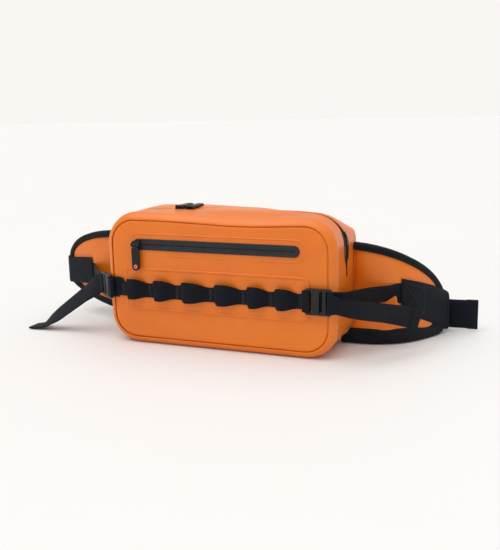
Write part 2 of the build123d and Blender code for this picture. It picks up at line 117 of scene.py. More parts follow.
# The left tail past its lock, as (place, the way its upper edge leans).
LEFT_TAIL_STATIONS = (((-202, -35, 52), (0, 0.50, 0.87)), ((-245, -34, 22), (0, 0.62, 0.78)),
                      ((-266, -33.5, 9), (0, 0.84, 0.54)), ((-277, -33, 2.6), (0, 1, 0.05)),
                      ((-289, -33, 1.5), (0, 1, 0)))
RIGHT_TURN_PLAN = ((251.4, 107), (257, 112), (256, 124), (238, 125.8))
RIGHT_RUN_PLAN = ((235.4, 125.5), (222, 126), (206, 150), (183, 150.6))
RIGHT_BELT_TAIL_PLAN = ((183, 157.4), (214, 157), (233, 127), (290, 127))
LEFT_TURN_PLAN = ((-291.6, 60.5), (-297.5, 69), (-296, 80), (-285, 86))
LEFT_RUN_PLAN = ((-284.4, 86.4), (-262, 104), (-235, 154), (-194, 154))
RIGHT_BELT_TOP = ((200, 85), (222, 79), (243, 71), (257, 49))
RIGHT_BELT_BOTTOM = ((200, 45), (222, 35), (240, 19), (257, 3))
RIGHT_PATCH_X = 206
LEFT_PATCH_START = 0.6
LEFT_BELT_Z = 64
BELT_MIDDLE_Z = 20

# ---- daisy chain and locks
CHAIN_Z = 72
STITCHES = (-126, -88, -50, -5, 38, 73, 109)
STITCH_HALF = 3
LOOP_DEPTH = 8.2
PATCH_RISE = 1.5
CHAIN_LEFT_END = -147
LEFT_LOCK_TURN = 38
# Way of a tail over its lock's outer bar, as (along, outward) from the lock.
OVER_BAR = ((10.4, -0.2), (10.4, 2.4), (11.2, 4.4))
RIGHT_LOCK_PLACE = (132, FRONT_Y - 4.3)
LEFT_LOCK_PLACE = (-154.1, FRONT_Y + 6.6)

# ---- camera
AZIMUTH = 22.15
ELEVATION = 11.74
ROLL = -1.18
DISTANCE = 982
TARGET = (23.1, 0, 85)
LENS = 50.94

# ---- light
BACKDROP = (0.956, 0.922, 0.896)
SKY_SIDE = 0.46
SKY_TOP = 1.35
KEY_SUN = 1.04
KEY_SPREAD = 50
KEY_TINT = (1.0, 0.99, 0.975)
KEY_DIRECTION = (-0.30, -0.35, 1.0)
FLOOR_REACH = 30
FLOOR_DROP = 0.0004


# ---- small maths

def smooth(low, high, value):
    """0 at low, 1 at high, turning smoothly between; low may be the larger."""
    t = np.clip((np.asarray(value, float) - low) / (high - low), 0, 1)
    return t * t * (3 - 2 * t)


def hill(value, middle, width):
    """Smooth hill of height 1 at middle."""
    return np.exp(-(((np.asarray(value, float) - middle) / width) ** 2))


def unit(vectors):
    return vectors / np.linalg.norm(vectors, axis=-1, keepdims=True)


def bezier(control, t):
    """Points on the cubic curve of four control points."""
    t = np.asarray(t, float)[:, None]
    s = 1 - t
    a, b, c, d = np.array(control, float)
    return a * s**3 + b * 3 * s * s * t + c * 3 * s * t * t + d * t**3


def lengths_along(path):
    """Distance from the start of a path to each of its points."""
    steps = np.linalg.norm(np.diff(path, axis=0), axis=1)
    return np.concatenate([[0], np.cumsum(steps)])


def resample(path, count):
    """The same path with evenly spaced points."""
    along = lengths_along(path)
    even = np.linspace(0, along[-1], count)
    return np.stack([np.interp(even, along, axis) for axis in path.T], axis=1)


def relaxed(path, rounds):
    """Path with its corners eased; the ends stay."""
    path = path.copy()
    for _ in range(rounds):
        path[1:-1] = (path[:-2] + 2 * path[1:-1] + path[2:]) / 4
    return path


# ---- mesh tools

def grid_faces(rows, columns, wrap=False):
    """Quads over rows of vertices; wrap joins the last column to the first."""
    faces = []
    for r in range(rows - 1):
        for c in range(columns if wrap else columns - 1):
            d = (c + 1) % columns
            faces.append((r * columns + c, r * columns + d,
                          (r + 1) * columns + d, (r + 1) * columns + c))
    return faces


def apply_modifiers(obj):
    """Bake the object's modifiers into its mesh."""
    graph = bpy.context.evaluated_depsgraph_get()
    mesh = bpy.data.meshes.new_from_object(obj.evaluated_get(graph))
    obj.modifiers.clear()
    obj.data = mesh


def face_out(mesh, middle):
    """Turn the faces so that they look away from the middle."""
    total = 0.0
    for polygon in mesh.polygons:
        total += polygon.normal.dot(polygon.center - middle) * polygon.area
    if total < 0:
        mesh.flip_normals()


def build(name, verts, faces, paint, slot, body=None, blend=None, stands_for=(),
          uv=None, lining=None, thickness=SKIN):
    """Make one piece of the bag and join it to its body; a piece given a blend is baked in
    place and joined to no body.

    uv gives each vertex its place on the cloth in millimetres. With a lining,
    the skin gets a thickness inwards and the lining material on its inside.
    """
    verts = np.asarray(verts, float)
    mesh = bpy.data.meshes.new(name)
    mesh.from_pydata((verts * MM).tolist(), [], faces)
    mesh.polygons.foreach_set("use_smooth", [True] * len(mesh.polygons))
    if uv is not None:
        corners = np.empty(len(mesh.loops), np.int32)
        mesh.loops.foreach_get("vertex_index", corners)
        layer = mesh.uv_layers.new(name="UVMap")
        layer.data.foreach_set("uv", np.asarray(uv, np.float32)[corners].ravel())
    inside = (0, 0, BAG_HEIGHT / 2) if lining else verts.mean(axis=0)
    face_out(mesh, Vector(inside) * MM)
    obj = bpy.data.objects.new(name, mesh)
    bpy.context.scene.collection.objects.link(obj)
    mesh.materials.append(paint)
    if lining:
        mesh.materials.append(lining)
        solid = obj.modifiers.new("thickness", "SOLIDIFY")
        solid.thickness = thickness * MM
        solid.offset = -1
        solid.material_offset = 1
        apply_modifiers(obj)
    if blend:
        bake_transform(obj)
    else:
        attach(obj, body)
    if stands_for:
        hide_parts(*stands_for)
    return obj


# ---- materials

def add(tree, kind, inputs=(), **settings):
    """Add a shader node; each input is a value or another node's output."""
    made = tree.nodes.new(kind)
    for key, value in settings.items():
        setattr(made, key, value)
    for key, value in dict(inputs).items():
        if isinstance(value, bpy.types.NodeSocket):
            tree.links.new(value, made.inputs[key])
        else:
            made.inputs[key].default_value = value
    return made.outputs[0]


def math(tree, operation, *values):
    return add(tree, "ShaderNodeMath", dict(enumerate(values)), operation=operation)


def start_material(name, **fixed):
    """New material, its node tree and its shader with fixed socket values."""
    made = bpy.data.materials.new(name)
    made.use_nodes = True
    tree = made.node_tree
    shader = tree.nodes["Principled BSDF"]
    for socket, value in fixed.items():
        shader.inputs[socket.replace("_", " ")].default_value = value
    return made, tree, shader


def coordinates(tree, kind="Object"):
    """Places on the object, or on the piece's own cloth with kind UV."""
    return tree.nodes.new("ShaderNodeTexCoord").outputs[kind]


def noise(tree, place, scale, detail=3.0):
    return add(tree, "ShaderNodeTexNoise", {"Vector": place, "Scale": scale, "Detail": detail})


def ramp(tree, factor, low, high, start=0.3, end=0.7):
    """Colour or grey that runs from low to high as the factor rises."""
    made = tree.nodes.new("ShaderNodeValToRGB")
    tree.links.new(factor, made.inputs["Fac"])
    first, last = made.color_ramp.elements
    first.position, last.position = start, end
    first.color = (*low, 1)
    last.color = (*high, 1)
    return made.outputs["Color"]


def grey(value):
    return (value, value, value)


def set_colour(tree, shader, factor, dark, light, start=0.3, end=0.7):
    tree.links.new(ramp(tree, factor, dark, light, start, end), shader.inputs["Base Color"])


def set_roughness(tree, shader, factor, low, high):
    tree.links.new(ramp(tree, factor, grey(low), grey(high)), shader.inputs["Roughness"])


def cloth_axes(tree):
    """Distance along and across the piece's own cloth."""
    split = tree.nodes.new("ShaderNodeSeparateXYZ")
    tree.links.new(coordinates(tree, "UV"), split.inputs[0])
    return split.outputs["X"], split.outputs["Y"]


def wave(tree, axis, pitch):
    return math(tree, "SINE", math(tree, "MULTIPLY", axis, tau / pitch))


def cloth_grid(tree, pitch):
    """Height of an even weave."""
    u, v = cloth_axes(tree)
    return math(tree, "MULTIPLY", wave(tree, u, pitch), wave(tree, v, pitch))


def webbing_height(tree, rib, cord):
    """Height of narrow woven tape: ribs across it, and cords along it."""
    u, v = cloth_axes(tree)
    cords = wave(tree, v, cord)
    shifted = math(tree, "MULTIPLY_ADD", u, tau / rib, math(tree, "MULTIPLY", cords, 1.2))
    return math(tree, "MULTIPLY_ADD", cords, 0.35, math(tree, "SINE", shifted))


def set_bump(tree, shader, height, strength, depth_mm, under=None):
    inputs = {"Height": height, "Strength": strength, "Distance": depth_mm * MM}
    if under is not None:
        inputs["Normal"] = under
    normal = add(tree, "ShaderNodeBump", inputs)
    tree.links.new(normal, shader.inputs["Normal"])
    return normal


def coated_fabric(name, dark, light):
    """Satin waterproof coating over a fine weave, with soft handling marks."""
    made, tree, shader = start_material(name, Specular_IOR_Level=0.34, Coat_Weight=0.30,
                                        Coat_Roughness=0.32)
    place = coordinates(tree)
    broad = noise(tree, place, 11.0, 4.0)
    marks = noise(tree, place, 85.0, 5.0)
    mixed = math(tree, "MULTIPLY_ADD", marks, 0.25, math(tree, "MULTIPLY", broad, 0.75))
    set_colour(tree, shader, mixed, dark, light)
    set_roughness(tree, shader, marks, 0.34, 0.47)
    creases = set_bump(tree, shader, noise(tree, place, 26.0, 2.0), 0.35, 1.2)
    weave = cloth_grid(tree, 1.1)
    set_bump(tree, shader, weave, 0.28, 0.07, creases)
    return made


def webbing_tape(name, dark, light, rib=1.9, cord=3.1):
    """Woven nylon tape."""
    made, tree, shader = start_material(name, Sheen_Weight=0.02, Sheen_Roughness=0.4,
                                        Specular_IOR_Level=0.11)
    height = webbing_height(tree, rib, cord)
    fuzz = noise(tree, coordinates(tree), 420.0, 3.0)
    shade = math(tree, "MULTIPLY_ADD", height, 0.30, math(tree, "MULTIPLY", fuzz, 0.9))
    set_colour(tree, shader, shade, dark, light, 0.2, 0.75)
    set_roughness(tree, shader, fuzz, 0.5, 0.68)
    coarse = set_bump(tree, shader, noise(tree, coordinates(tree), 45.0, 2.0), 0.25, 0.8)
    set_bump(tree, shader, height, 0.75, 0.30, coarse)
    return made


def moulded(name, dark, light, rough, edge_mm, grain=900.0, metallic=0.0, gloss=0.25):
    """Moulded plastic, rubber or metal with a fine grain and softened edges."""
    made, tree, shader = start_material(name, Metallic=metallic, Specular_IOR_Level=gloss)
    place = coordinates(tree)
    fine = noise(tree, place, grain, 2.0)
    broad = noise(tree, place, 60.0, 3.0)
    set_colour(tree, shader, broad, dark, light)
    set_roughness(tree, shader, broad, rough - 0.05, rough + 0.08)
    edges = add(tree, "ShaderNodeBevel", {"Radius": edge_mm * MM}, samples=6)
    set_bump(tree, shader, fine, 0.12, 0.05, edges)
    return made


def spacer_mesh(name, dark, light):
    """Knitted spacer mesh: rows of small open cells."""
    made, tree, shader = start_material(name, Sheen_Weight=0.05, Sheen_Roughness=0.4,
                                        Specular_IOR_Level=0.15)
    place = coordinates(tree)
    cells = add(tree, "ShaderNodeTexVoronoi", {"Vector": place, "Scale": 420.0,
                                               "Randomness": 0.25})
    set_colour(tree, shader, cells, light, dark, 0.25, 0.6)
    set_roughness(tree, shader, noise(tree, place, 200.0), 0.6, 0.8)
    set_bump(tree, shader, cells, 0.6, 0.6)
    return made


def lining_cloth(name, dark, light):
    """Plain woven lining."""
    made, tree, shader = start_material(name, Sheen_Weight=0.04, Specular_IOR_Level=0.2)
    fuzz = noise(tree, coordinates(tree), 300.0, 4.0)
    set_colour(tree, shader, fuzz, dark, light)
    set_roughness(tree, shader, fuzz, 0.65, 0.8)
    set_bump(tree, shader, fuzz, 0.4, 0.15)
    return made


ORANGE = coated_fabric("coated_orange", (0.72, 0.152, 0.0025), (0.80, 0.190, 0.005))
PATCH_ORANGE = coated_fabric("patch_orange", (0.71, 0.147, 0.0025), (0.79, 0.183, 0.005))
TAPE_BLACK = webbing_tape("webbing_black", (0.0016, 0.0020, 0.0035), (0.013, 0.016, 0.025))
BELT_BLACK = webbing_tape("belt_black", (0.0018, 0.0026, 0.0044), (0.014, 0.018, 0.028),
                          rib=2.2, cord=3.6)
EDGE_BLACK = webbing_tape("edge_tape", (0.005, 0.006, 0.008), (0.016, 0.018, 0.023),
                          rib=1.2, cord=1.6)
THREAD = lining_cloth("black_thread", (0.022, 0.025, 0.032), (0.050, 0.056, 0.068))
PLASTIC = moulded("moulded_black", (0.008, 0.009, 0.011), (0.016, 0.017, 0.020), 0.34, 0.7)
RUBBER = moulded("pull_rubber", (0.005, 0.0055, 0.007), (0.011, 0.0115, 0.013), 0.38, 0.9)
METAL = moulded("eyelet_copper", (0.70, 0.24, 0.15), (0.80, 0.32, 0.22), 0.32, 0.2,
                metallic=1.0)
ZIP_METAL = moulded("slider_black", (0.020, 0.021, 0.024), (0.040, 0.042, 0.047), 0.32, 0.5,
                    metallic=0.6)
ZIP_RUBBER = moulded("zip_tape_coating", (0.014, 0.015, 0.018), (0.024, 0.026, 0.030), 0.40,
                     0.3, grain=500.0)
MAIN_ZIP_BLACK = moulded("main_zip_coating", (0.003, 0.0033, 0.004), (0.007, 0.0075, 0.009),
                         0.50, 0.3, grain=500.0, gloss=0.12)
MESH_BLACK = spacer_mesh("spacer_mesh", (0.004, 0.004, 0.005), (0.035, 0.037, 0.042))
SKIN_INSIDE = lining_cloth("skin_inside", (0.010, 0.011, 0.013), (0.020, 0.021, 0.024))
LINING = lining_cloth("lining_grey", (0.10, 0.105, 0.11), (0.17, 0.175, 0.18))


# ---- bag skins

def rounded_ring(half_width, half_height, radius, long=56, short=28, turn=14):
    """Closed loop of X-Z points round a rounded rectangle about the origin."""
    a = half_width - radius
    b = half_height - radius
    corners = [(a, -b), (a, b), (-a, b), (-a, -b)]
    loop = []
    for k, (x, z) in enumerate(corners):
        start = radians(-90 + 90 * k)
        for i in range(turn):
            angle = start + pi / 2 * i / turn
            loop.append((x + radius * cos(angle), z + radius * sin(angle)))
        end = start + pi / 2
        offset = np.array((cos(end), sin(end))) * radius
        here = np.array((x, z)) + offset
        there = np.array(corners[(k + 1) % 4]) + offset
        count = short if k % 2 == 0 else long
        loop += [tuple(here + (there - here) * i / count) for i in range(count)]
    return np.array(loop)


def bag_ring(inset, y):
    """Ring of points round the bag at an inset from its outline; y may vary."""
    radius = max(OUTLINE_RADIUS - inset, 2)
    loop = rounded_ring(SIDE_X - inset, HALF_HEIGHT - inset, radius)
    ring = np.empty((len(loop), 3))
    ring[:, 0] = loop[:, 0]
    ring[:, 1] = y
    ring[:, 2] = loop[:, 1] + HALF_HEIGHT
    return ring


def soften(points):
    """Slump of the soft bag: the top sags at the front and crowns behind."""
    moved = np.array(points, float)
    x, y, z = moved[..., 0], moved[..., 1], moved[..., 2]
    top = smooth(BAG_HEIGHT - 29, BAG_HEIGHT - 6, z)
    sag = -3.4 * hill(x, 30, 62) * smooth(-18, -46, y)
    crown = (1.5 + 1.3 * smooth(-45, 0, x)) * smooth(130, 80, x) * hill(y, -8, 20)
    crown = crown * smooth(-140, -100, x)
    rear_left = 2.4 * hill(x, -62, 55) * smooth(0, 14, y)
    rear_right = -9.5 * smooth(15, 120, x) * smooth(-2, 42, y)
    moved[..., 2] = z + top * (sag + crown + rear_left + rear_right)
    bulge = 1.1 * smooth(130, 150, abs(x)) * hill(z, 78, 42) * hill(y, -22, 20)
    moved[..., 0] = x + np.sign(x) * bulge
    front = smooth(-54, -56, y) * smooth(150, 138, abs(x))
    ripple = np.sin(x / 21 + 0.8) * np.sin(z / 16 + 0.4) + 0.6 * np.sin(x / 9 - z / 13)
    leaning = smooth(134, 164, z) * smooth(-30, -52, y)
    moved[..., 1] = y - front * 0.22 * ripple + 2.4 * leaning
    return moved


def slit_half(ring):
    """Half width of the zip slit: thin on top, wider down the sides, then closed."""
    x, z = abs(ring[:, 0]), ring[:, 2]
    on_top = (0.8 + 1.9 * smooth(45, 110, x)) * smooth(120, 150, z)
    lens = 8.0 * smooth(ZIP_END_Z, 120, z) * (1 - 0.62 * smooth(126, 160, z))
    return np.where(x > 125, np.maximum(lens, on_top), on_top)


def skin_loft(name, rings, panel=False, **rest):
    """One bag skin through a list of rings; a panel has its last ring filled."""
    rings = [soften(ring) for ring in rings]
    count = len(rings[0])
    verts = np.concatenate(rings)
    faces = grid_faces(len(rings), count, wrap=True)
    if panel:
        faces.append(tuple(range((len(rings) - 1) * count, len(rings) * count)))
        uv = verts[:, [0, 2]]
    else:
        around = lengths_along(bag_ring(0, 0))
        along = [np.full(count, k) for k in profile_lengths(rings)]
        uv = np.stack([np.tile(around, len(rings)), np.concatenate(along)], axis=1)
    return build(name, verts, faces, ORANGE, "tpu_orange", uv=uv, lining=SKIN_INSIDE, **rest)


def profile_lengths(rings):
    """Distance across a loft, from ring to ring."""
    steps = [np.linalg.norm(b - a, axis=1).mean() for a, b in zip(rings, rings[1:])]
    return np.concatenate([[0], np.cumsum(steps)])


def rim_point(radius, edge_y, angle, rise, sign):
    """Inset and Y on the rounded rim at an angle from the side to the face."""
    inset = radius - (radius + rise) * cos(angle)
    y = edge_y + sign * (radius + rise) * sin(angle)
    return inset, y


def lip_rings(sign):
    """Rings from inside the slit out over its lip; sign is the side in Y."""
    half = slit_half(bag_ring(0, 0))
    open_here = smooth(0.02, 0.9, half)
    rings = []
    for depth, back in LIP_PROFILE:
        y = ZIP_Y + sign * (half + back)
        mix = (depth / LIP_DEPTH * open_here)[:, None]
        rings.append(bag_ring(0, y) * (1 - mix) + bag_ring(LIP_DEPTH, y) * mix)
    return rings


def front_gusset():
    """Front half of the side wall, from the zip to the front weld."""
    rings = lip_rings(-1)
    for y in np.arange(ZIP_Y - 5, BAND_EDGE_Y - 1, -3.25):
        rings.append(bag_ring(0, y))
    for inset, y in ((0.0, BAND_EDGE_Y - 0.2), (-0.5, BAND_EDGE_Y - 0.5),
                     (-BAND_RISE, BAND_EDGE_Y - 1.4)):
        rings.append(bag_ring(inset, y))
    edge_y = FRONT_Y + RIM_RADIUS
    last = np.arccos((RIM_RADIUS - SEAM_INSET + 0.3) / (RIM_RADIUS + BAND_RISE))
    for angle in np.linspace(0, last, 12):
        rings.append(bag_ring(*rim_point(RIM_RADIUS, edge_y, angle, BAND_RISE, -1)))
    inset, y = rim_point(RIM_RADIUS, edge_y, last, BAND_RISE, -1)
    rings.append(bag_ring(inset + 0.45, y + 0.25))
    rings.append(bag_ring(inset + 0.6, y + 1.5))
    skin_loft("front_gusset_skin", rings, blend=FLAP_BLEND,
              stands_for=("front_gusset_lower", "front_gusset_upper"))


def front_panel():
    """Front panel inside the weld, which sits in a narrow groove."""
    groove = ((0.2, 2.0), (0.9, 1.5), (1.6, 0.75), (2.6, 0.25))
    rings = [bag_ring(SEAM_INSET + inset, FRONT_Y + depth) for inset, depth in groove]
    flat = np.arange(SEAM_INSET + 4.5, HALF_HEIGHT - 1, 3.2)
    rings += [bag_ring(inset, FRONT_Y) for inset in flat]
    skin_loft("front_panel_skin", rings, True, blend=FLAP_BLEND,
              stands_for=("front_panel_lower", "front_panel_upper"))


def rear_skins():
    """Rear half of the side wall and the back panel."""
    rings = lip_rings(1)
    edge_y = BACK_Y - REAR_RIM_RADIUS
    for y in np.linspace(ZIP_Y + 5, edge_y - 3, 12):
        rings.append(bag_ring(0, y))
    weld = np.arccos((REAR_RIM_RADIUS - SEAM_INSET) / REAR_RIM_RADIUS)
    for angle in np.linspace(0, weld, 9):
        rings.append(bag_ring(*rim_point(REAR_RIM_RADIUS, edge_y, angle, 0, 1)))
    rings.append(bag_ring(*rim_point(REAR_RIM_RADIUS, edge_y, weld + 0.03, -1.0, 1)))
    skin_loft("rear_gusset_skin", rings, body="bag", stands_for=("rear_gusset",))
    rings = [bag_ring(*rim_point(REAR_RIM_RADIUS, edge_y, weld + 0.03, -1.1, 1))]
    for angle in np.linspace(weld + 0.07, pi / 2, 9):
        rings.append(bag_ring(*rim_point(REAR_RIM_RADIUS, edge_y, angle, 0, 1)))
    rings += [bag_ring(inset, BACK_Y) for inset in np.arange(24, HALF_HEIGHT - 1, 4.5)]
    skin_loft("back_panel_skin", rings, True, body="bag", stands_for=("back_panel",))


def main_zip():
    """Black zip just under the slit, in a front and a rear half."""
    loop = bag_ring(0, 0)
    keep = loop[:, 2] > ZIP_END_Z - 2
    first = int(np.argmax(keep & (loop[:, 0] > 0)))
    total = int(keep.sum())
    chosen = [(first + k) % len(loop) for k in range(total)]
    for side, sign, stands_for in (("front", -1, ("main_zip_tape_front",)),
                                   ("rear", 1, ("main_zip_tape_rear", "zip_garage_left",
                                                "zip_garage_right"))):
        rows = []
        for across, depth in ZIP_PROFILE:
            row = soften(bag_ring(depth, ZIP_Y + sign * across))[chosen]
            proud = 1.5 * smooth(126, 142, abs(row[:, 0])) * smooth(11.0, 9.0, across)
            row[:, 0] += np.sign(row[:, 0]) * proud
            rows.append(row)
        verts = np.concatenate(rows)
        faces = grid_faces(len(rows), total)
        joined = {"blend": FLAP_BLEND} if sign < 0 else {"body": "bag"}
        build(f"main_zip_{side}", verts, faces, MAIN_ZIP_BLACK, "zip_tape",
              uv=verts[:, [0, 1]], stands_for=stands_for, **joined)


# ---- front details

def flat_loft(name, rings, paint, slot, close=True, **rest):
    """Low raised form on the front: rings of X-Z points at given depths."""
    verts = np.concatenate([np.column_stack((ring[:, 0], np.full(len(ring), y), ring[:, 1]))
                            for ring, y in rings])
    count = len(rings[0][0])
    faces = grid_faces(len(rings), count, wrap=True)
    if close:
        faces.append(tuple(range((len(rings) - 1) * count, len(rings) * count)))
    return build(name, verts, faces, paint, slot, uv=verts[:, [0, 2]], **rest)


def pocket_zip():
    """Pocket zip in its round-ended strip, and the welded line round it."""
    low, high = node_box("pocket_zip_tape_upper")
    under, _ = node_box("pocket_zip_tape_lower")
    middle = np.array(((low[0] + high[0]) / 2, (under[2] + high[2]) / 2))
    half_width = (high[0] - low[0]) / 2
    half_height = (high[2] - under[2]) / 2

    def strip(inset):
        radius = half_height - inset - 0.02
        return rounded_ring(half_width - inset, half_height - inset, radius) + middle

    steps = ((0.0, 0.3), (0.05, -0.8), (0.35, -1.35), (1.0, -1.5), (1.7, -1.35), (2.1, -1.0),
             (2.4, -0.95), (4.0, -1.05), (5.2, -1.1), (5.6, -1.4), (6.0, -1.45), (6.3, -1.1),
             (6.7, -0.3))
    flat_loft("pocket_zip_strip", [(strip(i), FRONT_Y + y) for i, y in steps], ZIP_RUBBER,
              "zip_tape", body="flap",
              stands_for=("pocket_zip_tape_upper", "pocket_zip_tape_lower"))
    ridge = ((-7.2, 0.3), (-6.8, -0.15), (-6.2, -0.35), (-5.5, -0.2), (-5.1, 0.3))
    flat_loft("pocket_weld_line", [(strip(i), FRONT_Y + y) for i, y in ridge], ORANGE,
              "tpu_orange", close=False, body="flap")


def patch():
    """Raised patch welded on the front under the daisy chain."""
    low, high = node_box("reinforcement_patch")
    middle = np.array(((low[0] + high[0]) / 2, (low[2] + high[2]) / 2))

    def edge(inset):
        return rounded_ring((high[0] - low[0]) / 2 - inset, (high[2] - low[2]) / 2 - inset,
                            max(9 - inset, 2)) + middle

    steps = ((-0.3, 0.5), (0.0, -0.7), (0.3, -1.4), (0.9, -1.8), (1.8, -1.9), (2.8, -1.7),
             (3.5, -1.15), (4.2, -1.1), (5.2, -1.4), (9, -PATCH_RISE), (16, -PATCH_RISE),
             (24, -PATCH_RISE))
    flat_loft("front_patch", [(edge(i), FRONT_Y + y) for i, y in steps], PATCH_ORANGE,
              "tpu_orange", body="bag", stands_for=("reinforcement_patch",))


# ---- straps

def ribbon(path, across, width, thick, square=True, columns=11):
    """Vertices, faces and cloth coordinates of a flat strap along a path.

    A square strap turns its cross direction at right angles to the path;
    otherwise that direction is kept, as where folded tape is cut upright.
    """
    path = np.asarray(path, float)
    count = len(path)
    width = np.broadcast_to(width, count)
    thick = np.broadcast_to(thick, count)
    along = unit(np.gradient(path, axis=0))
    across = np.broadcast_to(np.asarray(across, float), path.shape)
    normal = unit(np.cross(across, along))
    if square:
        across = np.cross(along, normal)
    spread = np.linspace(-1, 1, columns)
    plump = 0.5 * (1 - 0.6 * np.abs(spread) ** 14)
    ring_a = np.concatenate([spread, spread[::-1]]) / 2
    ring_n = np.concatenate([plump, -plump])
    verts = (path[:, None] + across[:, None] * (ring_a[None, :, None] * width[:, None, None])
             + normal[:, None] * (ring_n[None, :, None] * thick[:, None, None]))
    section = 2 * columns
    faces = grid_faces(count, section, wrap=True)
    for start, turned in ((0, True), ((count - 1) * section, False)):
        for k in range(columns - 1):
            cap = (start + k, start + k + 1, start + section - 2 - k, start + section - 1 - k)
            faces.append(cap[::-1] if turned else cap)
    distance = lengths_along(path)
    uv = np.stack([np.repeat(distance, section),
                   (ring_a[None, :] * width[:, None]).ravel()], axis=1)
    return verts.reshape(-1, 3), faces, uv


def strap(name, path, across, width, thick, paint, slot, square=True, **rest):
    verts, faces, uv = ribbon(path, across, width, thick, square)
    return build(name, verts, faces, paint, slot, uv=uv, **rest)


def stitches(name, lines, body, pitch=3.0, length=2.2, radius=0.3):
    """Rows of sewing thread; each line is a path and the way it faces."""
    verts, faces = [], []
    for path, facing in lines:
        path = np.asarray(path, float)
        total = lengths_along(path)[-1]
        count = max(int(total / pitch), 2)
        even = resample(path, count * 2 + 1)
        middles = even[1::2]
        directions = unit(even[2::2] - even[:-2:2])
        facing = unit(np.broadcast_to(np.asarray(facing, float), middles.shape))
        side = unit(np.cross(directions, facing))
        for middle, along, out, beside in zip(middles, directions, facing, side):
            base = len(verts)
            for reach, size in ((-0.5, 0.45), (-0.3, 1.0), (0.3, 1.0), (0.5, 0.45)):
                for k in range(6):
                    angle = tau * k / 6
                    verts.append(middle + along * reach * length
                                 + beside * (cos(angle) * radius * size)
                                 + out * (sin(angle) * radius * 0.7 * size))
            for row in range(3):
                for k in range(6):
                    n = (k + 1) % 6
                    faces.append((base + row * 6 + k, base + row * 6 + n,
                                  base + (row + 1) * 6 + n, base + (row + 1) * 6 + k))
            faces.append(tuple(base + k for k in range(5, -1, -1)))
            faces.append(tuple(base + 18 + k for k in range(6)))
    return build(name, verts, faces, THREAD, "webbing", body=body)


def rim_surface(x):
    """Y of the raised front rim at X, level with the daisy chain."""
    inset = np.clip(SIDE_X - np.abs(x), 0, RIM_RADIUS)
    angle = np.arccos((RIM_RADIUS - inset) / (RIM_RADIUS + BAND_RISE))
    return FRONT_Y + RIM_RADIUS - (RIM_RADIUS + BAND_RISE) * np.sin(angle)


def daisy_chain():
    """Webbing sewn down at intervals, standing off in open loops between."""
    base = FRONT_Y - PATCH_RISE - 0.8
    xs = np.linspace(CHAIN_LEFT_END, STITCHES[-1] + STITCH_HALF, 460)
    depth = np.zeros_like(xs)
    for k, (start, end) in enumerate(zip(STITCHES, STITCHES[1:])):
        u = np.clip((xs - start - STITCH_HALF) / (end - start - 2 * STITCH_HALF), 0, 1)
        depth += smooth(0, 0.26, u) * smooth(1.0, 0.40, u) * (1 + 0.05 * sin(2.3 * k))
    valley = (1 - depth) * smooth(CHAIN_LEFT_END + 14, STITCHES[0], xs)
    top = CHAIN_Z + 13.2 - 6.0 * np.clip(valley, 0, 1) ** 1.3
    bottom = CHAIN_Z - 13.0 + 2.4 * np.clip(valley, 0, 1) ** 1.3
    on_rim = rim_surface(xs) - 0.95
    lie = on_rim + (base - on_rim) * smooth(-139, -131, xs)
    path = np.column_stack((xs, lie - LOOP_DEPTH * depth, (top + bottom) / 2))
    path = relaxed(path, 6)
    strap("daisy_chain_webbing", path, (0, 0, 1), top - bottom, 1.5, TAPE_BLACK, "webbing",
          body="bag", stands_for=("daisy_chain",))
    tacks = []
    for x in STITCHES:
        for shift in (-1.4, 0, 1.4):
            tacks.append(([(x + shift, base - 0.8, CHAIN_Z - 9.5),
                           (x + shift, base - 0.8, CHAIN_Z + 5.5)], (0, -1, 0)))
    stitches("daisy_bar_tacks", tacks, "bag", pitch=1.9, length=2.4, radius=0.32)


def lock_frame(side):
    """A ladder lock's way along its strap, its way out and its place."""
    if side == "right":
        place, along, outward = RIGHT_LOCK_PLACE, (1, 0, 0), (0, -1, 0)
    else:
        turn = radians(LEFT_LOCK_TURN)
        place = LEFT_LOCK_PLACE
        along = (-cos(turn), sin(turn), 0)
        outward = (-sin(turn), -cos(turn), 0)
    return np.array(along), np.array(outward), np.array((*place, CHAIN_Z))


def from_lock(side, points):
    """World places of (along, outward) pairs on a lock's middle line."""
    along, outward, origin = lock_frame(side)
    return np.array([origin + along * a + outward * o for a, o in points])


def anchor_loops():
    """Webbing folded round each lock's anchor bar."""
    for side in ("left", "right"):
        loop = [(-9.9, -0.9), (-13, -0.9), (-18.6, -0.9), (-19.6, 0.6), (-19.6, 3.0),
                (-18.6, 4.5), (-13, 4.6), (-11.2, 4.2), (-10.3, 3.0), (-10.3, 0.9),
                (-10.9, 0.1)]
        path = resample(relaxed(resample(from_lock(side, loop), 60), 12), 60)
        strap(f"anchor_loop_{side}_webbing", path, (0, 0, 1), WEBBING, STRAP, TAPE_BLACK,
              "webbing", body="bag", stands_for=(f"anchor_loop_{side}",))


def plan_path(control, z_start, z_end, sag=1.0, count=90):
    """Path over a plan curve while its height runs from z_start to z_end.

    A sag above 1 keeps the strap high for longer before it falls.
    """
    plan = bezier(control, np.linspace(0, 1, count))
    share = np.clip((plan[:, 0] - plan[0, 0]) / (plan[-1, 0] - plan[0, 0]), 0, 1)
    return np.column_stack((plan, z_start + (z_end - z_start) * share**sag))


